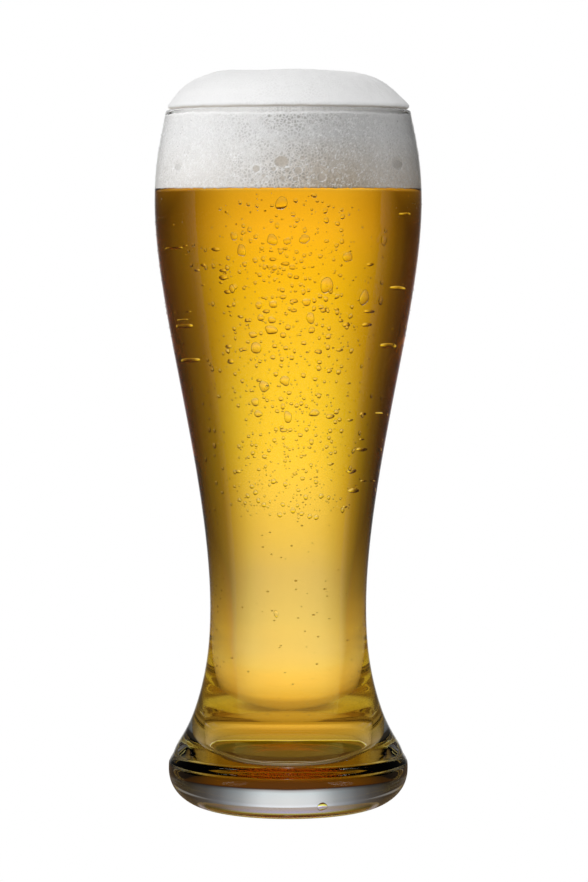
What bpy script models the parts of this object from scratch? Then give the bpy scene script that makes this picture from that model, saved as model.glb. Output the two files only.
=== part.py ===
"""A pint of beer: a tall waisted beer glass, the beer in it and the domed head of foam on top.

Metres, +Z up. The origin is the centre of the foot, on the surface that the glass stands on.
Glass, beer and foam are turned about the Z axis from profiles of (radius, height) points.
"""
import math

import bpy
import numpy as np

MM = 0.001

# The outer wall above the base, as (height, radius)
OUTER_WALL = [
    (17.5 * MM, 38.7 * MM),
    (20.0 * MM, 37.45 * MM),
    (27.0 * MM, 33.55 * MM),
    (35.0 * MM, 30.35 * MM),
    (46.0 * MM, 27.6 * MM),
    (66.0 * MM, 25.9 * MM),
    (90.0 * MM, 27.34 * MM),
    (115.0 * MM, 30.93 * MM),
    (145.0 * MM, 36.51 * MM),
    (175.0 * MM, 41.79 * MM),
    (201.5 * MM, 44.0 * MM),
    (217.0 * MM, 42.8 * MM),
    (225.0 * MM, 41.3 * MM),
    (230.0 * MM, 40.35 * MM),
]
RIM_HEIGHT = 231.0 * MM

# The heavy base: a flat foot ring, a bulge whose outline is a soft superellipse, and a shallow hollow underneath
FOOT_RADIUS = 22.0 * MM
BULGE_RADIUS = 39.7 * MM
BULGE_HEIGHT = 13.5 * MM
BULGE_POWER = 2.2
BULGE_TOP = 15.5 * MM
PUNT_RADIUS = 20.0 * MM
PUNT_DEPTH = 1.0 * MM

# The cavity: its wall as (height, radius), and its floor with a round corner
INNER_WALL = [
    (20.3 * MM, 22.0 * MM),
    (27.0 * MM, 22.3 * MM),
    (46.0 * MM, 22.5 * MM),
    (66.0 * MM, 22.6 * MM),
    (90.0 * MM, 24.34 * MM),
    (115.0 * MM, 28.1 * MM),
    (145.0 * MM, 33.91 * MM),
    (175.0 * MM, 39.3 * MM),
    (201.5 * MM, 41.7 * MM),
    (217.0 * MM, 40.6 * MM),
    (225.0 * MM, 39.25 * MM),
    (230.0 * MM, 38.45 * MM),
]
CAVITY_FLOOR = 15.3 * MM
CAVITY_CORNER = 3.0 * MM

# Contents
BEER_LEVEL = 205.2 * MM
GAP = 0.3 * MM

# The head of foam above the rim, as (radius, height), before its unevenness
FOAM_DOME = [
    (38.75 * MM, 231.9 * MM),
    (38.9 * MM, 232.8 * MM),
    (38.1 * MM, 234.2 * MM),
    (36.9 * MM, 235.6 * MM),
    (35.8 * MM, 236.8 * MM),
    (34.3 * MM, 238.1 * MM),
    (32.6 * MM, 239.4 * MM),
    (30.2 * MM, 240.7 * MM),
    (27.2 * MM, 241.8 * MM),
    (23.8 * MM, 242.7 * MM),
    (19.0 * MM, 243.4 * MM),
    (13.0 * MM, 243.8 * MM),
    (6.5 * MM, 244.0 * MM),
    (0.0, 244.05 * MM),
]
# Low swells of the foam's top, as (x, y, height, spread)
FOAM_SWELLS = [
    (-21.5 * MM, 2.0 * MM, 0.75 * MM, 9.0 * MM),
    (26.0 * MM, -6.0 * MM, 0.35 * MM, 8.0 * MM),
    (2.0 * MM, -24.0 * MM, 0.4 * MM, 10.0 * MM),
    (-6.0 * MM, 24.0 * MM, 0.5 * MM, 10.0 * MM),
    (12.0 * MM, 10.0 * MM, -0.45 * MM, 8.0 * MM),
    (-9.0 * MM, -10.0 * MM, -0.3 * MM, 7.0 * MM),
]
# The foam leans towards -X: this much further out on that side of the dome
FOAM_LEAN = 0.55 * MM

SEGMENTS = 60
WALL_STEPS = 2
BULGE_STEPS = 7
CORNER_STEPS = 5
LIP_STEPS = 4


def arc(centre_radius, centre_height, size, first, last, steps):
    """Points of an arc from angle first to last, in degrees, as (radius, height)."""
    points = []
    for k in range(steps + 1):
        angle = math.radians(first + (last - first) * k / steps)
        points.append((centre_radius + size * math.cos(angle), centre_height + size * math.sin(angle)))
    return points


def smooth_value(stations, height):
    """A smooth value between (height, value) stations."""
    heights = [h for h, _ in stations]
    values = [v for _, v in stations]
    slopes = np.gradient(values, heights)
    i = int(np.clip(np.searchsorted(heights, height) - 1, 0, len(stations) - 2))
    span = heights[i + 1] - heights[i]
    t = min(max((height - heights[i]) / span, 0.0), 1.0)
    start = (2 * t**3 - 3 * t**2 + 1) * values[i] + (t**3 - 2 * t**2 + t) * span * slopes[i]
    end = (3 * t**2 - 2 * t**3) * values[i + 1] + (t**3 - t**2) * span * slopes[i + 1]
    return start + end


def wall_heights(low, high):
    """Heights between low and high at which the walls have a ring of points."""
    heights = []
    for (start, _), (end, _) in zip(OUTER_WALL, OUTER_WALL[1:]):
        heights += [start + (end - start) * k / WALL_STEPS for k in range(WALL_STEPS)]
    heights.append(OUTER_WALL[-1][0])
    return [h for h in heights if low < h < high]


def outer_radius(height):
    return smooth_value(OUTER_WALL, height)


def inner_radius(height):
    return smooth_value(INNER_WALL, height)


def bulge_point(turn):
    """A point of the bulge's outline, as (radius, height): turn runs from -90 degrees, at the foot, past 0."""
    across = math.cos(turn) ** (2 / BULGE_POWER)
    rise = math.copysign(abs(math.sin(turn)) ** (2 / BULGE_POWER), turn)
    return FOOT_RADIUS + (BULGE_RADIUS - FOOT_RADIUS) * across, BULGE_HEIGHT * (1 + rise)


def cavity_profile(inset, top):
    """The cavity's profile from the floor's centre up the wall, moved inwards by inset."""
    corner_top = CAVITY_FLOOR + CAVITY_CORNER
    corner_centre = inner_radius(corner_top) - CAVITY_CORNER
    points = [(0.0, CAVITY_FLOOR + inset), (corner_centre / 2, CAVITY_FLOOR + inset)]
    points += arc(corner_centre, corner_top, CAVITY_CORNER - inset, -90, 0, CORNER_STEPS)
    points += [(inner_radius(h) - inset, h) for h in wall_heights(corner_top + MM, top)]
    points.append((inner_radius(top) - inset, top))
    return points


def turned_solid(name, profile, look):
    """A closed solid turned about Z from a profile that starts and ends on the axis."""
    vertices = []
    rings = []
    for radius, height in profile:
        if radius == 0.0:
            rings.append([len(vertices)] * SEGMENTS)
            vertices.append((0.0, 0.0, height))
            continue
        rings.append([len(vertices) + k for k in range(SEGMENTS)])
        for k in range(SEGMENTS):
            angle = 2 * math.pi * k / SEGMENTS
            vertices.append((radius * math.cos(angle), radius * math.sin(angle), height))
    faces = []
    for below, above in zip(rings, rings[1:]):
        for k in range(SEGMENTS):
            after = (k + 1) % SEGMENTS
            corners = [below[k], below[after], above[after], above[k]]
            faces.append(list(dict.fromkeys(corners)))
    mesh = bpy.data.meshes.new(name)
    mesh.from_pydata(vertices, [], faces)
    mesh.shade_smooth()
    mesh.set_sharp_from_angle(angle=math.radians(35))
    mesh.materials.append(material(name, look))
    solid = bpy.data.objects.new(name, mesh)
    bpy.context.scene.collection.objects.link(solid)
    return solid


def material(name, look):
    """A material with the piece's photo colour, roughness and clearness."""
    colour, roughness, clearness, index = look
    result = bpy.data.materials.new(name)
    result.use_nodes = True
    shader = result.node_tree.nodes["Principled BSDF"]
    shader.inputs["Base Color"].default_value = (*colour, 1.0)
    shader.inputs["Roughness"].default_value = roughness
    shader.inputs["Metallic"].default_value = 0.0
    shader.inputs["Transmission Weight"].default_value = clearness
    shader.inputs["IOR"].default_value = index
    return result


def build_glass():
    """The glass: foot ring, bulging base, waisted wall, rounded lip, and the cavity inside."""
    underside = [(0.0, PUNT_DEPTH)]
    for part in (0.5, 0.85):
        underside.append((PUNT_RADIUS * part, PUNT_DEPTH * (1 - part**2)))
    underside.append((PUNT_RADIUS, 0.0))
    last_turn = math.asin((BULGE_TOP / BULGE_HEIGHT - 1) ** (BULGE_POWER / 2))
    bulge = [bulge_point(turn) for turn in np.linspace(-math.pi / 2, last_turn, BULGE_STEPS + 1)]
    wall_top = OUTER_WALL[-1][0]
    wall = [(outer_radius(h), h) for h in wall_heights(0.0, wall_top)]
    lip_size = (outer_radius(wall_top) - inner_radius(wall_top)) / 2
    lip_centre = outer_radius(wall_top) - lip_size
    lip = arc(lip_centre, RIM_HEIGHT - lip_size, lip_size, 0, 180, LIP_STEPS)
    cavity = cavity_profile(0.0, wall_top - MM)
    profile = underside + bulge + wall + lip + cavity[::-1]
    turned_solid("glass", profile, ((0.86, 0.89, 0.9), 0.02, 1.0, 1.5))


def build_beer():
    """The beer: the cavity's shape up to its level, with a flat top."""
    profile = cavity_profile(GAP, BEER_LEVEL)
    level_radius = profile[-1][0]
    profile += [(level_radius / 2, BEER_LEVEL), (0.0, BEER_LEVEL)]
    turned_solid("beer", profile, ((0.85, 0.5, 0.02), 0.03, 0.6, 1.33))


def build_foam():
    """The foam: on the beer, inside the wall, and risen above the rim in an uneven dome."""
    base = BEER_LEVEL + GAP
    foot = inner_radius(base) - GAP
    profile = [(0.0, base), (foot / 2, base), (foot, base)]
    profile += [(inner_radius(h) - GAP, h) for h in wall_heights(base + MM, RIM_HEIGHT)]
    profile += FOAM_DOME
    foam = turned_solid("foam", profile, ((0.93, 0.92, 0.89), 0.6, 0.0, 1.4))
    for vertex in foam.data.vertices:
        x, y, z = vertex.co
        above = min(max((z - RIM_HEIGHT - 2 * MM) / (4 * MM), 0.0), 1.0)
        for centre_x, centre_y, height, spread in FOAM_SWELLS:
            distance = math.hypot(x - centre_x, y - centre_y) / spread
            vertex.co.z += above * height * math.exp(-(distance**2))
        vertex.co.x -= above * FOAM_LEAN


for existing in list(bpy.data.objects):
    bpy.data.objects.remove(existing)
build_glass()
build_beer()
build_foam()
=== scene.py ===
import math
import random

import bpy
import numpy as np
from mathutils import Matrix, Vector, noise


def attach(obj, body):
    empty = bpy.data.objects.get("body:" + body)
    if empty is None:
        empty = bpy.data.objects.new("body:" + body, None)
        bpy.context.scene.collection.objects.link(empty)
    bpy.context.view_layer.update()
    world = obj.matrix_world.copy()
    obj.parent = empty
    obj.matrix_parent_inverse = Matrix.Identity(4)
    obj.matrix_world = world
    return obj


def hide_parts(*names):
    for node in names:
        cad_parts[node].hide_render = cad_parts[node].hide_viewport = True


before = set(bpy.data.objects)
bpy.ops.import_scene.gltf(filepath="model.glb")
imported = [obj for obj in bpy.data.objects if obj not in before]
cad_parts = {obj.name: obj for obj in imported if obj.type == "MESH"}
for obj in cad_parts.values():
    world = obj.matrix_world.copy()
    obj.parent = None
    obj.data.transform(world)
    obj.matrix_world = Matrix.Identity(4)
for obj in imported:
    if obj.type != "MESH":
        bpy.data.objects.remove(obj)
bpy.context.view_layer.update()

mm = 0.001
scene = bpy.context.scene

# The photo's frame: the camera stands a little above the beer's level and looks slightly down.
cameraSetup = {
    "distance": 1.2045,
    "focalPixels": 3650,
    "horizonRow": 215,
    "heightPixels": 595.57,
    "imageWidth": 588,
    "imageHeight": 882,
    "axisColumn": 288.2,
}


def placeCamera(setup):
    data = bpy.data.cameras.new("pintCamera")
    data.sensor_width = 36
    data.lens = setup["focalPixels"] / setup["imageHeight"] * data.sensor_width
    camera = bpy.data.objects.new("pintCamera", data)
    scene.collection.objects.link(camera)
    pixel = setup["distance"] / setup["focalPixels"]
    aside = (setup["imageWidth"] / 2 - setup["axisColumn"]) * pixel
    camera.location = (aside, -setup["distance"], setup["heightPixels"] * pixel)
    tilt = math.atan((setup["imageHeight"] / 2 - setup["horizonRow"]) / setup["focalPixels"])
    camera.rotation_euler = (math.pi / 2 - tilt, 0, 0)
    scene.camera = camera
    return camera


camera = placeCamera(cameraSetup)
print("camera placed")

# Shape of the glass in millimetres: (height, value) pairs run up the wall.
glassShape = {
    "outerWall": [
        (15.5, 39.5), (17.5, 38.5), (20, 37.45), (23, 35.8), (27, 33.55), (31, 31.75), (35, 30.35),
        (46, 27.6), (66, 25.9), (90, 27.34), (115, 30.93), (145, 36.51), (175, 41.79), (201.5, 44.0),
        (217, 42.8), (225, 41.3), (230, 40.35),
    ],
    "innerWall": [
        (20.3, 22.0), (27, 22.3), (35, 22.4), (46, 22.5), (66, 22.6), (90, 24.34), (115, 28.1), (145, 33.91),
        (175, 39.3), (201.5, 41.7), (217, 40.6), (225, 39.25), (230, 38.45),
    ],
    "rimHeight": 231.0,
    "footRadius": 22.0,
    "bulgeRadius": 39.7,
    "bulgeHeight": 13.5,
    "bulgePower": 2.2,
    "puntRadius": 20.0,
    "puntDepth": 1.0,
    "cavityFloor": 15.3,
    "cavityCorner": 3.0,
    "beerLevel": 205.2,
    "cavityStartSlope": 0.05,
    "beerReach": 0.4,    # into the wall, so that no air shows between them
    "ringGap": 1.2,
    "segments": 256,
}


def splineThrough(stations, startSlope=None):
    # even curvature through (height, value) stations
    heights, values = np.array(stations, dtype=float).T
    gaps, count = np.diff(heights), len(heights)
    steep = np.diff(values) / gaps
    system, right = np.zeros((count, count)), np.zeros(count)
    system[-1, -1] = 1
    if startSlope is None:
        system[0, 0] = 1
    else:
        system[0, :2] = 2 * gaps[0], gaps[0]
        right[0] = 6 * (steep[0] - startSlope)
    for i in range(1, count - 1):
        system[i, i - 1:i + 2] = gaps[i - 1], 2 * (gaps[i - 1] + gaps[i]), gaps[i]
        right[i] = 6 * (steep[i] - steep[i - 1])
    bend = np.linalg.solve(system, right)

    def valueAt(height):
        h = np.clip(height, heights[0], heights[-1])
        i = np.clip(np.searchsorted(heights, h) - 1, 0, count - 2)
        after, before, gap = heights[i + 1] - h, h - heights[i], gaps[i]
        curved = (bend[i] * after**3 + bend[i + 1] * before**3) / (6 * gap)
        fromStart = (values[i] / gap - bend[i] * gap / 6) * after
        fromEnd = (values[i + 1] / gap - bend[i + 1] * gap / 6) * before
        return curved + fromStart + fromEnd

    return valueAt


def bulgePoint(turn):
    # the round base's outline is a soft superellipse; turn 0 is its widest place
    power = 2 / glassShape["bulgePower"]
    foot, widest = glassShape["footRadius"], glassShape["bulgeRadius"]
    radius = foot + (widest - foot) * math.cos(turn) ** power
    return radius, glassShape["bulgeHeight"] * (1 + math.copysign(abs(math.sin(turn)) ** power, turn))


def bulgeTurn(height):
    rise = height / glassShape["bulgeHeight"] - 1
    return math.asin(math.copysign(abs(rise) ** (glassShape["bulgePower"] / 2), rise))


bulgeEnd = bulgeTurn(glassShape["outerWall"][0][0])
radiusBefore, heightBefore = bulgePoint(bulgeEnd - 0.01)
radiusAfter, heightAfter = bulgePoint(bulgeEnd + 0.01)
bulgeSlope = (radiusAfter - radiusBefore) / (heightAfter - heightBefore)
# the wall goes on smoothly from the round base
glassShape["outerWall"][0] = (glassShape["outerWall"][0][0], bulgePoint(bulgeEnd)[0])
outerRadius = splineThrough(glassShape["outerWall"], bulgeSlope)
innerRadius = splineThrough(glassShape["innerWall"], glassShape["cavityStartSlope"])


def arcPoints(radius, height, size, first, last, steps):
    angles = np.linspace(first, last, steps + 1)
    return [(radius + size * math.cos(a), height + size * math.sin(a)) for a in angles]


def evenHeights(low, high, gap):
    return list(np.linspace(low, high, max(2, int(round((high - low) / gap)) + 1)))


def cavityProfile(shape, outset, top):
    # from the floor's centre up the inside of the wall, moved outwards into the glass by outset
    cornerTop = shape["cavityFloor"] + shape["cavityCorner"]
    centre = float(innerRadius(cornerTop)) - shape["cavityCorner"]
    floor = shape["cavityFloor"] - outset
    points = [(r, floor) for r in np.linspace(0, centre, 8)[:-1]]
    points += arcPoints(centre, cornerTop, shape["cavityCorner"] + outset, -math.pi / 2, 0, 20)[:-1]
    points += [(float(innerRadius(h)) + outset, h) for h in evenHeights(cornerTop, top, shape["ringGap"])]
    return points


def turnedMesh(name, profile, segments):
    # closed mesh turned about Z from a profile in mm that starts and ends on the axis
    angles = np.linspace(0, 2 * math.pi, segments, endpoint=False)
    vertices, rings = [], []
    for radius, height in profile:
        if radius < 1e-6:
            rings.append([len(vertices)] * segments)
            vertices.append((0, 0, height * mm))
            continue
        rings.append(list(range(len(vertices), len(vertices) + segments)))
        vertices += [(radius * mm * math.cos(a), radius * mm * math.sin(a), height * mm) for a in angles]
    return joinRings(name, vertices, rings)


def newPiece(name, vertices, faces):
    mesh = bpy.data.meshes.new(name)
    mesh.from_pydata(vertices, [], faces)
    mesh.shade_smooth()
    piece = bpy.data.objects.new(name, mesh)
    scene.collection.objects.link(piece)
    return piece


def joinRings(name, vertices, rings):
    faces = []
    for below, above in zip(rings, rings[1:]):
        for k in range(len(below)):
            j = (k + 1) % len(below)
            faces.append(list(dict.fromkeys((below[k], below[j], above[j], above[k]))))
    return newPiece(name, vertices, faces)


def addPiece(piece, node=None):
    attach(piece, "root")
    if node:
        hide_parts(node)
    return piece


def buildGlass(shape):
    edge = shape["puntRadius"]
    profile = [(edge * t, shape["puntDepth"] * (1 - t * t)) for t in np.linspace(0, 1, 12)]
    profile += [bulgePoint(turn) for turn in np.linspace(-math.pi / 2, bulgeEnd, 44)[:-1]]
    wallTop = shape["outerWall"][-1][0]
    heights = evenHeights(shape["outerWall"][0][0], wallTop, shape["ringGap"])
    profile += [(float(outerRadius(h)), h) for h in heights]
    lip = float(outerRadius(wallTop) - innerRadius(wallTop)) / 2
    profile += arcPoints(float(outerRadius(wallTop)) - lip, wallTop, lip, 0, math.pi, 16)[1:-1]
    profile += cavityProfile(shape, 0, wallTop)[::-1]
    return addPiece(turnedMesh("glassWall", profile, shape["segments"]), "glass")


def buildBeer(shape):
    profile = cavityProfile(shape, shape["beerReach"], shape["beerLevel"])
    edge = profile[-1][0]
    profile += [(edge * t, shape["beerLevel"]) for t in (0.75, 0.5, 0.25, 0)]
    return addPiece(turnedMesh("beerBody", profile, shape["segments"]), "beer")


glassWall = buildGlass(glassShape)
beerBody = buildBeer(glassShape)
print("glass and beer built")

# The head of foam, in millimetres
foamShape = {
    "segments": 800,
    "ringGap": 0.33,
    "reachIntoWall": 0.3,
    "lipGap": 0.55,
    "lipFrom": 228.9,
    "lipShade": 1.0,
    "lipShadeHeight": 231.3,
    "lumps": [(3.2, 0.16), (0.9, 0.06)],
    "dome": [
        (38.35, 231.1), (39.3, 231.5), (39.7, 232.1), (39.2, 233.1), (38.2, 234.2), (36.9, 235.6),
        (35.8, 236.8), (34.3, 238.1), (32.6, 239.4), (30.2, 240.7), (27.2, 241.8), (23.8, 242.7),
        (19.0, 243.4), (13.0, 243.8), (6.5, 244.0), (0.0, 244.05),
    ],
    "swells": [
        (-21.5, 2, 0.75, 9), (26, -6, 0.35, 8), (2, -24, 0.4, 10), (-6, 24, 0.5, 10), (12, 10, -0.45, 8),
        (-9, -10, -0.3, 7),
    ],
    "lean": 0.55,
    # waves round the drink, as (number, size, phase): the edge under the lip, and the lower edge
    "edgeWaves": [(5, 0.2, 1), (23, 0.1, 2), (61, 0.08, 0)],
    "raggedWaves": [(7, 0.05, 1), (19, 0.05, 2), (43, 0.06, 0.4), (97, 0.07, 3), (151, 0.06, 5)],
    # the same for the dome, and how they turn with its radius
    "domeWaves": [(3, 0.1, 1, 0.2), (5, 0.08, 2, 0.3), (11, 0.04, 0, 0.5)],
    "domeRings": 84,
    # bubbles that stand out: pixel column, pixel row, width and height in pixels, how far the film clears
    "bigBubbles": [
        (282, 162, 16, 12, .8), (257, 169, 9, 8, .6), (298, 171, 8.5, 8, .7), (321, 177.5, 9, 8, 1),
        (282.7, 178.5, 6.5, 5.5, .9), (295.5, 179, 6, 5, .8), (274, 169.5, 5.5, 5.5, .5),
        (287.5, 170.5, 6, 5, .6), (302.5, 158.5, 7, 5, .4), (396, 162, 20, 15, .16), (180, 164, 17, 14, .08),
        (345, 180, 6, 4, .5), (264, 176, 5, 4, .5), (310, 174, 4.5, 4, .5), (253, 183, 5, 3.5, .4),
        (335, 170, 5, 4, .3),
    ],
    "smallBubbles": 5200,
    "smallSize": 0.28,
    "smallSizeSpread": 0.5,
    "smallFilm": 0.12,
    "smallDepth": 0.2,    # of a bubble's dent, in its size
    "seed": 11,
}
mmPerPixel = 0.3187    # on the near side of the glass
horizonHeight = 196.54    # of the camera's level on the near side of the glass


def pixelToWall(column, row):
    # a point of the photo on the near side of the glass: (sideways, height) in mm
    height = horizonHeight + (cameraSetup["horizonRow"] - row) * mmPerPixel
    return (column - cameraSetup["axisColumn"]) * mmPerPixel, height


def scatterFoamBubbles(shape, low, high, rng):
    # (angle, height, half width, half height, depth, film) of each bubble on the foam's side
    bubbles = []
    for _ in range(shape["smallBubbles"]):
        # most of them small and low down
        size = shape["smallSize"] + shape["smallSizeSpread"] * rng.random() ** 3
        height = low + (high - low) * rng.random() ** 1.3
        film = shape["smallFilm"] * rng.random() ** 2
        angle = rng.uniform(-math.pi, math.pi)
        depth = shape["smallDepth"] * size
        bubbles.append((angle, height, size, size * rng.uniform(0.8, 1.0), depth, film))
    for column, row, wide, tall, film in shape["bigBubbles"]:
        sideways, height = pixelToWall(column, row)
        angle = -math.pi / 2 + math.asin(sideways / float(innerRadius(height)))
        depth = (0.03 + 0.1 * film) * wide * mmPerPixel
        bubbles.append((angle, height, wide * mmPerPixel / 2, tall * mmPerPixel / 2, depth, film))
    return bubbles


def waveSum(angles, waves):
    return sum(size * np.sin(angles * number + phase) for number, size, phase in waves)


def dentSide(radii, filmsAndHighlight, angles, heights, bubbles):
    # shallow bowls pushed into the foam's side; radii and the film values are (rings, segments)
    count = len(angles)
    for angle, height, wide, tall, depth, film in bubbles:
        base = float(innerRadius(height))
        rows = np.where(np.abs(heights - height) < tall * 1.3)[0]
        reach = int(wide * 1.3 / base / (2 * math.pi / count)) + 1
        middle = int(round((angle % (2 * math.pi)) / (2 * math.pi / count)))
        columns = np.arange(middle - reach, middle + reach + 1) % count
        turn = (angles[columns] - angle + math.pi) % (2 * math.pi) - math.pi
        across = (turn * base / wide)[None, :]
        along = ((heights[rows] - height) / tall)[:, None]
        part = np.sqrt(across**2 + along**2)
        bowl = depth * np.sqrt(np.clip(1 - part**2, 0, 1))
        patch = np.ix_(rows, columns)
        radii[patch] = np.minimum(radii[patch], base + 0.2 - bowl + 0.4 * (bowl <= 0))
        # the middle of a bubble is a clear film and its edge is a white ring, faint round the largest
        inside = np.clip((1 - part) * 4, 0, 1)
        ring = np.clip(1 - np.abs(part - 1.02) / 0.2, 0, 1)
        filmsAndHighlight[patch] = filmsAndHighlight[patch] * (1 - inside) + film * inside - ring * (0.25 if wide > 2.2 else 1)


def buildFoam(shape, level):
    rng = random.Random(shape["seed"])
    angles = np.linspace(0, 2 * math.pi, shape["segments"], endpoint=False)
    wallTop = glassShape["outerWall"][-1][0]
    side = np.array(evenHeights(level, wallTop, shape["ringGap"]))
    radii = np.repeat((innerRadius(side) + shape["reachIntoWall"])[:, None], len(angles), axis=1)
    filmsAndHighlight = np.zeros_like(radii)
    dentSide(radii, filmsAndHighlight, angles, side, scatterFoamBubbles(shape, level + 0.3, shape["lipFrom"], rng))
    # the foam comes away from the glass just under the rim, unevenly, and a painted highlight line runs along
    # that edge
    past = side[:, None] - (shape["lipFrom"] + waveSum(angles, shape["edgeWaves"]))[None, :]
    filmsAndHighlight -= 1.2 * np.clip(1 - np.abs(past - 0.15) / 0.6, 0, 1)
    radii -= np.clip(past / 0.9, 0, 1) * (shape["reachIntoWall"] + shape["lipGap"])
    heights = np.repeat(side[:, None], len(angles), axis=1)
    ragged = waveSum(angles, shape["raggedWaves"])
    heights[0] += ragged - 0.12
    heights[1] += ragged * 0.3
    # the dome above the rim: an arc-length walk along its outline
    outline = np.array([(float(radii[-1].mean()), wallTop)] + shape["dome"])
    walk = np.concatenate([[0], np.cumsum(np.hypot(*np.diff(outline, axis=0).T))])
    steps = np.linspace(0, walk[-1], shape["domeRings"])[1:]
    domeRadii = splineThrough(list(zip(walk, outline[:, 0])))(steps)
    domeHeights = splineThrough(list(zip(walk, outline[:, 1])))(steps)
    vertices, rings, filmShadeAndHighlightValues = [], [], []

    def addRing(ringRadii, ringHeights, ringFilmShadeAndHighlight=None):
        rings.append(list(range(len(vertices), len(vertices) + len(angles))))
        above = np.clip((ringHeights - 233) / 4, 0, 1)
        x = ringRadii * np.cos(angles) - above * shape["lean"]
        y = ringRadii * np.sin(angles)
        z = ringHeights.copy()
        for cx, cy, swell, spread in shape["swells"]:
            z += above * swell * np.exp(-((x - cx) ** 2 + (y - cy) ** 2) / spread**2)
        if ringHeights[0] > wallTop:
            for size, amount in shape["lumps"]:
                z += amount * np.array([noise.noise(Vector(p) / size) for p in zip(x, y, z)])
        vertices.extend(zip(x * mm, y * mm, z * mm))
        filmShadeAndHighlightValues.extend(np.zeros(len(angles)) if ringFilmShadeAndHighlight is None else ringFilmShadeAndHighlight)

    vertices.append((0, 0, (level - 0.1) * mm))
    filmShadeAndHighlightValues.append(0)
    rings.append([0] * len(angles))
    for part in (0.35, 0.7, 0.93):
        addRing(radii[0] * part, np.full(len(angles), level - 0.1))
    for ringRadii, ringHeights, ringFilmShadeAndHighlight in zip(radii, heights, filmsAndHighlight):
        addRing(ringRadii, ringHeights, ringFilmShadeAndHighlight)
    # a thin shaded line where the foam stands behind the lip
    for radius, height in zip(domeRadii[:-1], domeHeights[:-1]):
        shade = shape["lipShade"] * max(0, 1 - abs(height - shape["lipShadeHeight"]) / 0.45)
        turned = [(number, size, phase + radius * turn) for number, size, phase, turn in shape["domeWaves"]]
        wobble = waveSum(angles, turned) * min(1, (height - wallTop) / 3)
        addRing(radius + wobble, np.full(len(angles), height), np.full(len(angles), shade))
    rings.append([len(vertices)] * len(angles))
    vertices.append((-shape["lean"] * mm, 0, domeHeights[-1] * mm))
    filmShadeAndHighlightValues.append(0)
    piece = joinRings("foamHead", vertices, rings)
    filmShadeAndHighlight = piece.data.attributes.new("filmShadeAndHighlight", "FLOAT", "POINT")
    filmShadeAndHighlight.data.foreach_set("value", np.array(filmShadeAndHighlightValues, dtype=float))
    return addPiece(piece, "foam")


foamHead = buildFoam(foamShape, glassShape["beerLevel"])
print("foam built")

# Cold drops on the outside: pixel column, row, width and height in pixels of the ones that stand out
dropShape = {
    "bigDrops": [
        (281.7, 203, 11.7, 13), (272.5, 239.5, 11, 10), (287.5, 240.8, 8, 6), (304.7, 238.8, 10, 9),
        (241.7, 250.3, 9, 12), (234, 236, 8, 7), (348, 256.7, 10, 10), (327, 285, 13, 16), (232, 288.7, 6, 8),
        (244.7, 264, 5, 5), (273.3, 304, 8, 6.5), (306.7, 302, 8, 7), (258.8, 305, 7, 6),
        (260.8, 317.5, 7, 6), (272, 319.7, 8, 6), (310.8, 318, 8, 11), (271.3, 329.7, 13, 8),
        (253, 335, 9, 6), (283.3, 335, 6, 6), (312, 330, 6, 7), (328.7, 336.7, 6, 6), (303.8, 291.7, 4.5, 5),
        (283.3, 296.7, 6, 5), (337.5, 296, 5, 5), (292.5, 267, 6, 5), (274.5, 267.8, 5, 5.5),
        (263.3, 258.7, 4.5, 5), (343, 216.7, 5.5, 5), (297.5, 220, 5, 4.5), (331, 291, 5, 5),
        (256, 348, 11, 11), (264, 387, 10, 11), (255, 403, 8, 8), (285, 381, 10, 9), (288, 418, 8, 11),
        (258, 415, 8, 7), (315, 414, 10, 7), (365, 298, 12, 15), (385, 240, 8, 11), (382, 301, 7, 9),
        (276, 620, 5, 7), (323, 807, 10, 9),
    ],
    "smallFront": 900,
    "smallAround": 420,
    "sideSpecks": 620,
    "bigThickness": 0.09,
    "smallThickness": (0.09, 0.17),
    "speckThickness": (0.4, 0.7),
    # half width from which a drop has this many points round it and rings
    "fineness": [(1, (28, 7)), (0.28, (12, 4)), (0, (8, 3))],
    "baseFromRow": 780,
    "baseDropHeight": 6.0,
    "baseDropThickness": 0.2,
    "closest": 1.15,    # of two drops, in the sum of their sizes
    "seed": 5,
}


def dropRows(shape):
    # (angle, height, half width, half height, thickness) of each drop
    rng = random.Random(shape["seed"])
    rows = []
    for column, row, wide, tall in shape["bigDrops"]:
        sideways, height = pixelToWall(column, row)
        thickness = shape["bigThickness"] * wide * mmPerPixel / 2
        if row > shape["baseFromRow"]:
            height = shape["baseDropHeight"]
            thickness *= shape["baseDropThickness"]
        angle = -math.pi / 2 + math.asin(sideways / wallPoint(height)[0])
        rows.append((angle, height, wide * mmPerPixel / 2, tall * mmPerPixel / 2, thickness))

    def tryDrop(angle, height, size, thickness):
        radius = float(outerRadius(height))
        for other in rows:
            turn = (other[0] - angle + math.pi) % (2 * math.pi) - math.pi
            apart = math.hypot(turn * radius, other[1] - height)
            if apart < shape["closest"] * (size + max(other[2], other[3])):
                return
        rows.append((angle, height, size, size * rng.uniform(0.8, 1.2), size * rng.uniform(*thickness)))

    for _ in range(shape["smallFront"]):
        sideways, height = pixelToWall(rng.gauss(288, 42), 192 + 330 * rng.random() ** 0.9)
        radius = float(outerRadius(height))
        if abs(sideways) < radius * 0.93:
            size = rng.uniform(0.45, 0.85) if rng.random() < 0.45 else rng.uniform(0.15, 0.4)
            tryDrop(-math.pi / 2 + math.asin(sideways / radius), height, size, shape["smallThickness"])
    for _ in range(shape["smallAround"]):
        size = rng.uniform(0.4, 0.8) if rng.random() < 0.4 else rng.uniform(0.15, 0.4)
        tryDrop(rng.uniform(0.1, math.pi - 0.1), rng.triangular(95, 205, 170), size, shape["smallThickness"])
    # mist of tiny beads at the sides, up to the rim
    for _ in range(shape["sideSpecks"]):
        side = rng.choice((0, math.pi)) + rng.gauss(0, 0.3)
        level = rng.choice((rng.uniform(150, 205), rng.triangular(206, 229, 225)))
        tryDrop(side, level, rng.uniform(0.13, 0.27), shape["speckThickness"])
    return rows


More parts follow.
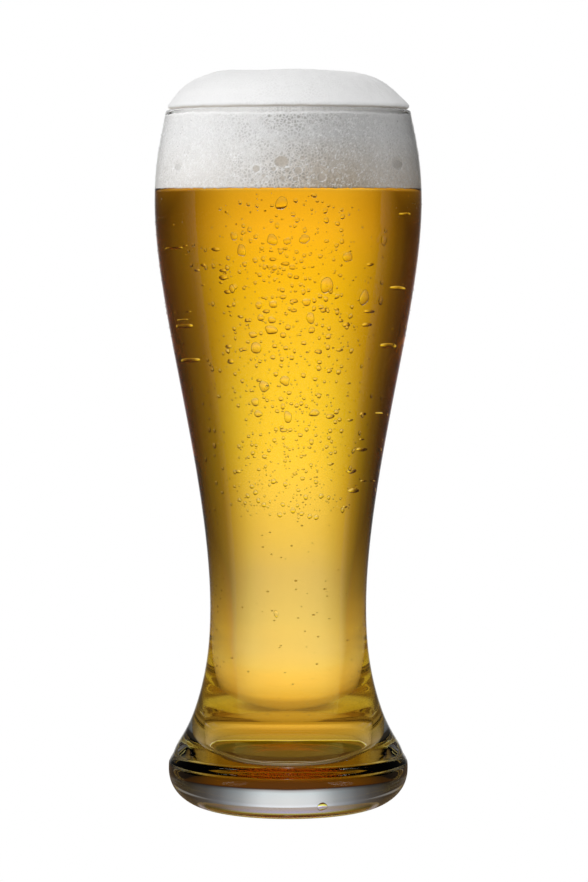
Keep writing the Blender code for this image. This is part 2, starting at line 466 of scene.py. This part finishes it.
def wallPoint(height):
    # (radius, slope) of the outside at a height, also on the round base
    if height < glassShape["outerWall"][0][0]:
        turn = bulgeTurn(max(height, 0.5))
        (nearRadius, nearHeight), (radius, top) = bulgePoint(turn), bulgePoint(turn + 0.01)
        return nearRadius, (radius - nearRadius) / (top - nearHeight)
    return float(outerRadius(height)), float(outerRadius(height + 0.1) - outerRadius(height - 0.1)) / 0.2


def buildDrops(shape):
    rng = random.Random(shape["seed"] + 1)
    vertices, faces = [], []
    for angle, height, wide, tall, thick in dropRows(shape):
        around, across = next(fine for least, fine in shape["fineness"] if wide > least)
        uneven = [(n, rng.uniform(0.02, 0.22 / n), rng.uniform(0, 6.3)) for n in (2, 3, 4)]
        sag = rng.uniform(0.0, 0.22)
        start = len(vertices)
        # flat in the middle and steep at the rim
        rows = [(t ** 0.6, 1 - (t ** 0.6) ** 4) for t in np.linspace(0, 1, across + 1)]
        for part, lift in rows + [(0.92, None), (0.0, None)]:
            ring = 1 if part == 0 else around
            for k in range(ring):
                a = 2 * math.pi * k / around
                reach = part * (1 + sum(m * math.cos(n * a + p) for n, m, p in uneven))
                u = wide * reach * math.cos(a)
                v = tall * reach * (math.sin(a) - sag * part * (1 - math.sin(a)) * 0.5)
                radius, slope = wallPoint(height + v)
                # fuller towards the bottom, as a drop that hangs on a wall
                out = -0.12 if lift is None else thick * lift * (1 - 0.25 * math.sin(a) * part) - 0.02
                length = math.hypot(1, slope)
                r, z = radius + out / length, height + v - out * slope / length
                turn = angle + u / radius
                vertices.append((r * math.cos(turn) * mm, r * math.sin(turn) * mm, z * mm))
        counts = [1] + [around] * (across + 1) + [1]
        offset = start
        for a, b in zip(counts, counts[1:]):
            for k in range(around):
                j = (k + 1) % around
                quad = [offset + (k if a > 1 else 0), offset + a + (k if b > 1 else 0),
                        offset + a + (j if b > 1 else 0), offset + (j if a > 1 else 0)]
                faces.append(list(dict.fromkeys(quad)))
            offset += a
    print("drops:", len(faces), "faces")
    return addPiece(newPiece("coldDrops", vertices, faces))


coldDrops = buildDrops(dropShape)

# Fine gas bubbles in the beer: patches of (column from, to, row from, to, number) in the photo
fizzShape = {
    "patches": [
        (203, 226, 530, 690, 60), (196, 216, 320, 430, 22), (366, 378, 420, 520, 14),
        (215, 360, 200, 520, 50),
    ],
    "sizes": (0.12, 0.3),
    "around": 160,
    "aroundHeights": (25, 203),
    "aroundSizes": (0.12, 0.32),
    "fromWall": 0.3,
    "seed": 23,
}


def buildFizz(shape):
    rng = random.Random(shape["seed"])
    fromWall = shape["fromWall"]
    spots = []    # (angle, height, distance from the wall, radius)
    for left, right, top, bottom, number in shape["patches"]:
        for _ in range(number):
            sideways, height = pixelToWall(rng.uniform(left, right), rng.uniform(top, bottom))
            radius = float(innerRadius(height))
            if abs(sideways) < radius * 0.97:
                angle = -math.pi / 2 + math.asin(sideways / radius)
                inset = fromWall + 0.3 * rng.random()
                spots.append((angle, height, inset, rng.uniform(*shape["sizes"])))
    for _ in range(shape["around"]):
        height = rng.uniform(*shape["aroundHeights"])
        angle = rng.uniform(0, math.pi)
        inset = fromWall + rng.random() * float(innerRadius(height)) * 0.9
        spots.append((angle, height, inset, rng.uniform(*shape["aroundSizes"])))
    vertices, faces = [], []
    for angle, height, inset, size in spots:
        radius = float(innerRadius(height)) - inset - size
        centre = np.array((radius * math.cos(angle), radius * math.sin(angle), height))
        start, around, levels = len(vertices), 10, 6
        vertices.append(tuple((centre + (0, 0, -size)) * mm))
        for level in range(1, levels):
            tilt = math.pi * level / levels
            for k in range(around):
                a = 2 * math.pi * k / around
                wide = math.sin(tilt)
                offset = np.array((wide * math.cos(a), wide * math.sin(a), -math.cos(tilt))) * size
                vertices.append(tuple((centre + offset) * mm))
        vertices.append(tuple((centre + (0, 0, size)) * mm))
        last = len(vertices) - 1
        for k in range(around):
            j = (k + 1) % around
            faces.append((start, start + 1 + j, start + 1 + k))
            for level in range(levels - 2):
                row = start + 1 + level * around
                faces.append((row + k, row + j, row + around + j, row + around + k))
            row = start + 1 + (levels - 2) * around
            faces.append((row + k, row + j, last))
    return addPiece(newPiece("beerFizz", vertices, faces))


beerFizz = buildFizz(fizzShape)
print("drops and fizz built")


def newMaterial(name):
    result = bpy.data.materials.new(name)
    result.use_nodes = True
    return result, result.node_tree.nodes, result.node_tree.links, result.node_tree.nodes["Principled BSDF"]


def mathNode(tree, operation, first, second=None):
    node = tree.nodes.new("ShaderNodeMath")
    node.operation = operation
    for socket, value in zip(node.inputs, (first, second)):
        if value is None:
            continue
        if isinstance(value, (int, float)):
            socket.default_value = value
        else:
            tree.links.new(value, socket)
    return node.outputs[0]


def colourOf(value):
    return (value, value, value, 1) if isinstance(value, (int, float)) else (*value, 1)


def rampNode(tree, value, stops, low, high):
    # colour stops over a value that runs from low to high
    spread = tree.nodes.new("ShaderNodeMapRange")
    spread.inputs["From Min"].default_value, spread.inputs["From Max"].default_value = low, high
    tree.links.new(value, spread.inputs["Value"])
    ramp = tree.nodes.new("ShaderNodeValToRGB")
    tree.links.new(spread.outputs["Result"], ramp.inputs[0])
    marks = ramp.color_ramp.elements
    marks.remove(marks[1])
    marks[0].position, marks[0].color = (stops[0][0] - low) / (high - low), colourOf(stops[0][1])
    for place, colour in stops[1:]:
        marks.new((place - low) / (high - low)).color = colourOf(colour)
    return ramp.outputs[0]


def vectorNode(tree, operation, first, second):
    node = tree.nodes.new("ShaderNodeVectorMath")
    node.operation = operation
    for socket, value in zip(node.inputs, (first, second)):
        if isinstance(value, tuple):
            socket.default_value = value
        else:
            tree.links.new(value, socket)
    return node


def chooseNode(tree, switch, no, yes):
    # colour no where switch is 0 and yes where it is 1
    node = tree.nodes.new("ShaderNodeMix")
    node.data_type = "RGBA"
    for name, value in (("Factor_Float", switch), ("A_Color", no), ("B_Color", yes)):
        socket = next(s for s in node.inputs if s.identifier == name)
        if isinstance(value, (int, float, tuple)):
            socket.default_value = colourOf(value) if name.endswith("Color") else value
        else:
            tree.links.new(value, socket)
    return next(s for s in node.outputs if s.identifier == "Result_Color")


glassLook = {
    "ior": 1.5,
    "roughness": 0.0,
    "wavesPerMetre": 45,
    "waveDepth": 0.0001,
    "waveStrength": 0.5,
}
beerLook = {
    "ior": 1.333,
    "roughness": 0.0,
    "absorb": (0.6, 9.1, 54.0),    # red, green and blue, per metre
    "wavesPerMetre": 60,
    "waveDepth": 0.00005,
    "waveStrength": 0.3,
}
waterLook = {"ior": 1.25, "roughness": 0.0}    # a little under water's 1.33, so that drops stay soft
gasLook = {"ior": 0.75, "roughness": 0.0}    # of gas against the beer round it
foamLook = {
    "roughness": 0.45,
    "creamy": (0.84, 0.84, 0.84),
    "cell": (0.52, 0.51, 0.495),
    # white of the cell walls and bubble rings, also used for the painted glints and the painted highlight line
    # under the rim
    "wall": (1.0, 1.0, 1.0),
    # colour of a bubble's clear film, also used for the painted shade line behind the lip
    "film": (0.6, 0.54, 0.47),
    # tint of the wetter foam low down, stronger on the right side as painted shade
    "wetAndShade": (0.88, 0.74, 0.56),
    # painted shade over the sideways place of the foam inside the glass, darkest a little to the right of the
    # middle
    "shadeAcross": [
        (-.04, .95), (-.01, .92), (0, .87), (.008, .8), (.016, .74), (.024, .79), (.031, .95), (.036, 1),
        (.04, 1),
    ],
    # reach of that tint across: mostly on the right, as painted shade
    "wetShadeAcross": [(-.04, .15), (-.012, .2), (0, .5), (.012, 1), (.02, .95), (.03, .5), (.04, .5)],
    "wetUpright": [(.205, 1), (.222, 0)],
    "cellsPerMetre": 950,
    "fineCellsPerMetre": 2100,
    "bumpStrength": 0.3,
    "bump": 0.0003,
    # the part inside the glass, over the height in metres
    "inGlass": [(.2, 1), (.2285, 1), (.2305, .25), (.25, .12)],
    # coarse cells, over the distance from the middle in metres
    "coarseAcross": [(0, .85), (.012, .6), (.024, .12), (.04, .1)],
    # a cell's wall, over the distance from the edge, and its painted glint, over the distance from its middle
    "cellWall": [(0, 1), (.07, .9), (.16, .25), (.3, .05), (1, 0)],
    "fineCellWall": [(0, 1), (.08, .7), (.25, .1), (1, 0)],
    "paintedGlint": [(0, 1), (.13, 1), (.2, 0), (1, 0)],
}


def faintWavesGroup():
    # the normal of a surface that is very slightly uneven, as that of blown glass and of a drink is
    group = bpy.data.node_groups.new("faintWaves", "ShaderNodeTree")
    for name in ("Waves Per Metre", "Depth", "Strength"):
        group.interface.new_socket(name=name, in_out="INPUT", socket_type="NodeSocketFloat")
    group.interface.new_socket(name="Normal", in_out="OUTPUT", socket_type="NodeSocketVector")
    inputs = group.nodes.new("NodeGroupInput")
    output = group.nodes.new("NodeGroupOutput")
    place = group.nodes.new("ShaderNodeTexCoord")
    wave = group.nodes.new("ShaderNodeTexNoise")
    wave.inputs["Detail"].default_value = 2
    bump = group.nodes.new("ShaderNodeBump")
    group.links.new(place.outputs["Object"], wave.inputs["Vector"])
    group.links.new(inputs.outputs["Waves Per Metre"], wave.inputs["Scale"])
    group.links.new(wave.outputs["Fac"], bump.inputs["Height"])
    group.links.new(inputs.outputs["Depth"], bump.inputs["Distance"])
    group.links.new(inputs.outputs["Strength"], bump.inputs["Strength"])
    group.links.new(bump.outputs["Normal"], output.inputs["Normal"])
    return group


faintWaves = faintWavesGroup()


def addWaves(tree, shader, look):
    waves = tree.nodes.new("ShaderNodeGroup")
    waves.node_tree = faintWaves
    waves.inputs["Waves Per Metre"].default_value = look["wavesPerMetre"]
    waves.inputs["Depth"].default_value = look["waveDepth"]
    waves.inputs["Strength"].default_value = look["waveStrength"]
    tree.links.new(waves.outputs["Normal"], shader.inputs["Normal"])


def clearMaterial(name, look):
    result, nodes, links, shader = newMaterial(name)
    shader.inputs["Base Color"].default_value = (1, 1, 1, 1)
    shader.inputs["Roughness"].default_value = look["roughness"]
    shader.inputs["IOR"].default_value = look["ior"]
    shader.inputs["Transmission Weight"].default_value = 1
    return result, nodes, links, shader


def glassMaterial(look):
    result, nodes, links, shader = clearMaterial("clearGlass", look)
    addWaves(result.node_tree, shader, look)
    return result


def beerMaterial(look):
    result, nodes, links, shader = clearMaterial("goldenBeer", look)
    addWaves(result.node_tree, shader, look)
    volume = nodes.new("ShaderNodeVolumeAbsorption")
    density = max(look["absorb"])
    volume.inputs["Density"].default_value = density
    volume.inputs["Color"].default_value = (*[1 - a / density for a in look["absorb"]], 1)
    links.new(volume.outputs[0], nodes["Material Output"].inputs["Volume"])
    return result


def foamMaterial(look):
    result, nodes, links, shader = newMaterial("whiteFoam")
    tree = result.node_tree
    shader.inputs["Roughness"].default_value = look["roughness"]
    place = nodes.new("ShaderNodeTexCoord").outputs["Object"]

    def cells(scale, feature):
        cell = nodes.new("ShaderNodeTexVoronoi")
        cell.feature = feature
        cell.inputs["Scale"].default_value = scale
        links.new(place, cell.inputs["Vector"])
        return cell.outputs["Distance"]

    def cloud(scale, low, high):
        clouds = nodes.new("ShaderNodeTexNoise")
        clouds.inputs["Scale"].default_value = scale
        clouds.inputs["Detail"].default_value = 3
        links.new(place, clouds.inputs["Vector"])
        return rampNode(tree, clouds.outputs["Fac"], [(low, 0), (high, 1)], 0, 1)

    def product(first, second):
        return mathNode(tree, "MULTIPLY", first, second)

    film = nodes.new("ShaderNodeAttribute")
    film.attribute_name = "filmShadeAndHighlight"
    spot = nodes.new("ShaderNodeSeparateXYZ")
    links.new(place, spot.inputs[0])
    sideways, height = spot.outputs["X"], spot.outputs["Z"]
    inGlass = rampNode(tree, height, look["inGlass"], .2, .25)
    # coarse cells in the middle of the glass and in drifting patches, fine ones elsewhere, creamy on top
    middle = rampNode(tree, mathNode(tree, "ABSOLUTE", sideways), look["coarseAcross"], 0, .04)
    drifting = mathNode(tree, "ADD", middle, product(cloud(55, .5, .7), .5))
    patches = mathNode(tree, "MINIMUM", drifting, 1.0)
    coarse = product(product(patches, inGlass), cloud(160, .3, .6))
    walls = rampNode(tree, cells(look["cellsPerMetre"], "DISTANCE_TO_EDGE"), look["cellWall"], 0, 1)
    fineWalls = rampNode(tree, cells(look["fineCellsPerMetre"], "DISTANCE_TO_EDGE"), look["fineCellWall"], 0, 1)
    coarseColour = chooseNode(tree, walls, look["cell"], look["wall"])
    fineColour = chooseNode(tree, product(fineWalls, inGlass), look["creamy"], look["wall"])
    colour = chooseNode(tree, coarse, fineColour, coarseColour)
    # painted glints: bright points in the colour where thin films would catch the light
    points = rampNode(tree, cells(look["cellsPerMetre"] * .8, "F1"), look["paintedGlint"], 0, 1)
    points = product(product(points, inGlass), cloud(420, .52, .6))
    colour = chooseNode(tree, points, colour, look["wall"])
    # darker and amber low down, where the foam is wetter, and more so on the right as painted shade; and a
    # painted shade band a little to the right of the middle
    wetAndShade = product(rampNode(tree, height, look["wetUpright"], .2, .25),
                  rampNode(tree, sideways, look["wetShadeAcross"], -.04, .04))
    colour = vectorNode(tree, "MULTIPLY", colour, chooseNode(tree, wetAndShade, (1, 1, 1), look["wetAndShade"])).outputs[0]
    paintedShade = rampNode(tree, sideways, look["shadeAcross"], -.04, .04)
    colour = vectorNode(tree, "MULTIPLY", colour, chooseNode(tree, inGlass, (1, 1, 1), paintedShade)).outputs[0]
    # a positive film clears the foam and also paints the shade line behind the lip, and a negative one is the
    # white ring round a bubble and the painted highlight line under the rim
    clear = mathNode(tree, "MAXIMUM", film.outputs["Fac"], 0.0)
    ring = product(mathNode(tree, "MINIMUM", film.outputs["Fac"], 0.0), -0.8)
    colour = chooseNode(tree, clear, colour, look["film"])
    links.new(chooseNode(tree, ring, colour, look["wall"]), shader.inputs["Base Color"])
    bump = nodes.new("ShaderNodeBump")
    bump.inputs["Strength"].default_value = look["bumpStrength"]
    bump.inputs["Distance"].default_value = look["bump"]
    links.new(mathNode(tree, "ADD", fineWalls, walls), bump.inputs["Height"])
    links.new(bump.outputs["Normal"], shader.inputs["Normal"])
    return result


glassWall.data.materials.append(glassMaterial(glassLook))
beerBody.data.materials.append(beerMaterial(beerLook))
coldDrops.data.materials.append(clearMaterial("coldWater", waterLook)[0])
beerFizz.data.materials.append(clearMaterial("gasBubble", gasLook)[0])
foamHead.data.materials.append(foamMaterial(foamLook))
print("materials made")

# More surfaces crossed than this: the light has been through the drink, or at least into the glass
drinkCrossings = 3.5
glassCrossings = 1.5

# Soft studio light. Stops are (angle in degrees, brightness or colour): across is round the drink, with 0
# straight behind it, and upright is above the horizon. The light falls off to amber at the sides, and warm
# light hangs above.
lightSetup = {
    "glowAcross": [
        (-180, (.8, .74, .6)), (-90, (.8, .74, .6)), (-75, .1), (-50, (.055, .035, .01)),
        (-40, (.085, .06, .02)), (-32, (.26, .2, .055)), (-25, (.54, .46, .19)), (-20, (.76, .71, .47)),
        (-12, (.93, .93, .85)), (-6, (.98, .98, .97)), (0, 1), (6, (.96, .95, .93)), (12, (.88, .88, .82)),
        (20, (.66, .61, .43)), (25, (.45, .39, .19)), (32, (.28, .22, .07)), (40, (.13, .09, .02)),
        (50, (.08, .055, .02)), (62, (.08, .055, .02)), (75, .1), (90, (.8, .74, .6)), (180, (.8, .74, .6)),
    ],
    "glowUpright": [
        (-90, (1.15, 1.1, 1.1)), (-30, (1.2, 1.14, 1.1)), (-21, (1.2, 1.15, 1.5)), (-15, (1.14, 1.13, 1.95)),
        (-8, (1.03, 1.06, 1.9)), (-3, (.96, .96, 1.8)), (0, (1.11, 1.07, 1.2)), (2, (1.23, 1.2, .9)),
        (3, (1.25, 1.24, .5)), (5, (1.18, 1.25, .1)), (7, (1.1, 1.1, .05)), (12, (.84, .8, .3)),
        (14.6, (.5, .5, .3)), (15.6, (.07, .028, .004)), (90, (.1, .05, .01)),
    ],
    "fadeAcross": [
        (-180, 1), (-75, 1), (-62, .5), (-40, .6), (-32, (.5, .48, .34)), (-25, (.55, .52, .36)),
        (-20, (.72, .66, .46)), (-14, (.86, .82, .68)), (-10, (.95, .93, .9)), (-5, 1), (0, 1), (5, 1),
        (10, (.92, .89, .86)), (14, (.82, .78, .65)), (20, (.65, .6, .44)), (25, (.51, .46, .33)),
        (32, (.5, .48, .34)), (40, .6), (62, .5), (75, 1), (180, 1),
    ],
    "fadeUpright": [(-90, 0), (-14, 0), (2, 1), (90, 1)],
    # the same for rays that pass through clear glass only, as in the base
    "clearAcross": [
        (-180, (.8, .74, .6)), (-90, (.8, .74, .6)), (-75, .1), (-60, (.025, .018, .01)),
        (-45, (.035, .027, .018)), (-32, (.08, .074, .07)), (-25, (.16, .16, .165)), (-20, (.29, .3, .31)),
        (-16, (.42, .43, .44)), (-12, (.68, .69, .7)), (-8, (.92, .93, .94)), (0, 1), (8, (.92, .93, .94)),
        (12, (.68, .69, .7)), (16, (.42, .43, .44)), (20, (.29, .3, .31)), (25, (.16, .16, .165)),
        (32, (.08, .074, .07)), (45, (.035, .027, .018)), (60, (.025, .018, .01)), (75, .1),
        (90, (.8, .74, .6)), (180, (.8, .74, .6)),
    ],
    "clearUpright": [
        (-90, (.66, .51, .1)), (-45, (.66, .51, .1)), (-35, (.7, .55, .16)), (-27, (.94, .79, .57)),
        (-21, (1, .9, .94)), (-15, (1, 1.01, 1.1)), (-6, (.9, .94, 1)), (-2, (.84, .87, .9)),
        (0, (.8, .81, .83)), (5, (.76, .77, .77)), (12, (.7, .76, .77)), (14.6, .45),
        (15.6, (.07, .028, .004)), (90, (.1, .05, .01)),
    ],
    # dim amber light from above on all sides
    "aboveAcross": [
        (-180, .9), (-130, .8), (-70, .3), (-45, .4), (-28, 1), (0, 1), (28, 1), (45, .4), (70, .3),
        (130, .8), (180, .9),
    ],
    "aboveUpright": [
        (-90, 0), (14.6, 0), (17, (.11, .034, 0)), (25, (.13, .05, .002)), (30, (.17, .07, .005)),
        (60, (.14, .075, .015)), (65, (.39, .24, .06)), (90, (.39, .24, .06)),
    ],
    "tableAcross": [
        (-180, .85), (-100, .8), (-80, .5), (-40, .6), (0, 1), (40, .6), (80, .5), (100, .8), (180, .85),
    ],
    "tableUpright": [
        (-90, (1, .9, .7)), (-24, (1, .86, .6)), (-15, (.85, .68, .4)), (-8, (.65, .49, .24)),
        (-5, (.5, .37, .16)), (-2, (.36, .26, .1)), (1, (.2, .14, .04)), (5, (.05, .03, .005)), (8, 0),
        (90, 0),
    ],
    "clearTableUpright": [
        (-90, (.75, .77, .76)), (-24, (.75, .77, .76)), (-15, (.5, .51, .52)), (-8, (.3, .31, .31)),
        (-5, .15), (-3, 0), (90, 0),
    ],
    "mirroredAcross": [
        (-180, .01), (-60, .01), (-45, .015), (-30, .03), (-22, .06), (-16, .2), (-8, .75), (0, 1), (8, .75),
        (16, .2), (22, .06), (30, .03), (45, .015), (60, .01), (180, .01),
    ],
    "innerUpright": [
        (-90, (.5, .46, .35)), (-10, (.5, .46, .35)), (0, (.45, .42, .4)), (15, (.4, .35, .3)), (17, 1),
        (90, 1),
    ],
    "behindUpright": [
        (-90, (.56, .47, .15)), (-48, (.56, .47, .15)), (-40, (1.1, 1.1, .5)), (-26, (1.1, 1.1, .5)),
        (-18, (.45, .34, .1)), (-8, (.4, .3, .08)), (-4, (.2, .13, .02)), (0, (.08, .04, 0)),
        (6, (.13, .07, .01)), (12, (.2, .12, .02)), (20, (.24, .14, .015)), (33, (.22, .12, .01)),
        (50, (.2, .1, .01)), (65, (.39, .24, .02)), (90, (.39, .24, .02)),
    ],
    # soft key from the left on the foam: over the part of a direction that points left, and over its height
    "keyDirection": (-0.93, -0.37, 0.0),
    "keyAcross": [(-1, .34), (-.5, .5), (0, .85), (.35, 1.0), (1, 1.05)],
    "keyInGlass": [(-1, .28), (-.5, .3), (-.15, .42), (.15, 1.5), (.5, 1.85), (1, 1.7)],
    "keyUpright": [(-90, 1), (-30, 1.13), (5, 1.13), (20, 1.2), (45, 1.36), (90, 1.72)],
}


def buildLight(setup):
    world = bpy.data.worlds.new("studio")
    scene.world = world
    world.use_nodes = True
    tree = world.node_tree
    tree.nodes.clear()
    place = tree.nodes.new("ShaderNodeTexCoord").outputs["Generated"]
    split = tree.nodes.new("ShaderNodeSeparateXYZ")
    tree.links.new(place, split.inputs[0])
    around = mathNode(tree, "DEGREES", mathNode(tree, "ARCTAN2", split.outputs["X"], split.outputs["Y"]))
    upright = mathNode(tree, "DEGREES", mathNode(tree, "ARCSINE", split.outputs["Z"]))

    def across(key):
        return rampNode(tree, around, setup[key], -180, 180)

    def up(key):
        return rampNode(tree, upright, setup[key], -90, 90)

    def multiplied(first, second):
        return vectorNode(tree, "MULTIPLY", first, second).outputs[0]

    path = tree.nodes.new("ShaderNodeLightPath")
    throughDrink = mathNode(tree, "GREATER_THAN", path.outputs["Transmission Depth"], drinkCrossings)
    glow = multiplied(across("glowAcross"), up("glowUpright"))
    glow = chooseNode(tree, up("fadeUpright"), glow, multiplied(glow, across("fadeAcross")))
    seen = chooseNode(tree, throughDrink, multiplied(across("clearAcross"), up("clearUpright")), glow)
    table = chooseNode(tree, throughDrink, up("clearTableUpright"), up("tableUpright"))
    seen = vectorNode(tree, "MAXIMUM", seen, multiplied(across("tableAcross"), table)).outputs[0]
    above = chooseNode(tree, throughDrink, multiplied(across("aboveAcross"), up("aboveUpright")), 0.0)
    seen = vectorNode(tree, "MAXIMUM", seen, above).outputs[0]
    # what glass and beer mirror on their inner faces is dim, more so on the camera's side
    inside = mathNode(tree, "GREATER_THAN", path.outputs["Glossy Depth"], 0.5)
    seen = chooseNode(tree, inside, seen, multiplied(seen, up("innerUpright")))
    facing = mathNode(tree, "LESS_THAN", split.outputs["Y"], 0.0)
    seen = chooseNode(tree, mathNode(tree, "MULTIPLY", inside, facing), seen, up("behindUpright"))
    turned = vectorNode(tree, "DOT_PRODUCT", place, setup["keyDirection"]).outputs["Value"]
    # foam inside the glass also glows from behind
    inGlass = mathNode(tree, "GREATER_THAN", path.outputs["Transmission Depth"], glassCrossings)
    key = chooseNode(tree, inGlass, rampNode(tree, turned, setup["keyAcross"], -1, 1),
                     rampNode(tree, turned, setup["keyInGlass"], -1, 1))
    scattered = mathNode(tree, "GREATER_THAN", path.outputs["Diffuse Depth"], 0.5)
    light = chooseNode(tree, path.outputs["Is Transmission Ray"], across("mirroredAcross"), seen)
    light = chooseNode(tree, scattered, light, multiplied(key, up("keyUpright")))
    light = chooseNode(tree, path.outputs["Is Camera Ray"], light, 1.0)
    background = tree.nodes.new("ShaderNodeBackground")
    tree.links.new(light, background.inputs["Color"])
    output = tree.nodes.new("ShaderNodeOutputWorld")
    tree.links.new(background.outputs[0], output.inputs["Surface"])


# The floor is white to the eye. Through the drink it shows a painted amber pool of light and shadow round the
# foot, and through clear glass a paler one: (distance in mm, colour)
floorSetup = {
    "radius": 200,
    "under": 0.2,
    "narrowing": 1.3,
    "mirrored": (.12, .08, .05),
    "clearPaintedPool": [
        (0, (.4, .37, .32)), (22, (.4, .37, .32)), (32, (.4, .38, .33)), (66, (.45, .44, .42)),
        (76, (.6, .6, .58)), (110, .9), (150, 1), (200, 1),
    ],
    "paintedPool": [
        (0, (.42, .37, .28)), (22, (.42, .37, .28)), (32, (.5, .385, .12)), (66, (.5, .385, .12)),
        (76, (.78, .63, .32)), (90, (.86, .74, .5)), (110, (.95, .86, .72)), (130, (1, .95, .88)), (150, 1),
        (200, 1),
    ],
}


def buildFloor(setup):
    count, radius = 96, setup["radius"] * mm
    turns = [2 * math.pi * k / count for k in range(count)]
    mesh = bpy.data.meshes.new("paleFloor")
    rim = [(radius * math.cos(a), radius * math.sin(a), -setup["under"] * mm) for a in turns]
    mesh.from_pydata(rim, [], [list(range(count))])
    floor = bpy.data.objects.new("paleFloor", mesh)
    scene.collection.objects.link(floor)
    result, nodes, links, shader = newMaterial("paleFloor")
    shader.inputs["Base Color"].default_value = (0.8, 0.8, 0.8, 1)
    shader.inputs["Roughness"].default_value = 0.9
    tree = result.node_tree
    place = nodes.new("ShaderNodeTexCoord").outputs["Object"]
    narrowed = vectorNode(tree, "MULTIPLY", place, (setup["narrowing"], 1, 1)).outputs[0]
    distance = vectorNode(tree, "LENGTH", narrowed, (0, 0, 0)).outputs["Value"]
    clear = nodes.new("ShaderNodeBsdfTransparent")
    paintedPools = [rampNode(tree, distance, [(d * mm, colour) for d, colour in setup[name]], 0, radius)
             for name in ("clearPaintedPool", "paintedPool")]
    white = nodes.new("ShaderNodeEmission")
    path = nodes.new("ShaderNodeLightPath")
    throughDrink = mathNode(tree, "GREATER_THAN", path.outputs["Transmission Depth"], drinkCrossings)
    links.new(chooseNode(tree, throughDrink, *paintedPools), clear.inputs["Color"])
    dim = nodes.new("ShaderNodeEmission")
    dim.inputs["Color"].default_value = (*setup["mirrored"], 1)
    mirrored, lit, seen = [nodes.new("ShaderNodeMixShader") for _ in range(3)]
    for mix, switch, no, yes in ((mirrored, "Is Glossy Ray", shader, dim),
                                 (lit, "Is Camera Ray", mirrored, white),
                                 (seen, "Is Transmission Ray", lit, clear)):
        links.new(path.outputs[switch], mix.inputs[0])
        links.new(no.outputs[0], mix.inputs[1])
        links.new(yes.outputs[0], mix.inputs[2])
    links.new(seen.outputs[0], nodes["Material Output"].inputs["Surface"])
    mesh.materials.append(result)
    return floor


buildLight(lightSetup)
buildFloor(floorSetup)
scene.view_settings.view_transform = "Standard"
scene.cycles.max_bounces = scene.cycles.transmission_bounces = 24
scene.cycles.glossy_bounces = 7
print("light and floor made")
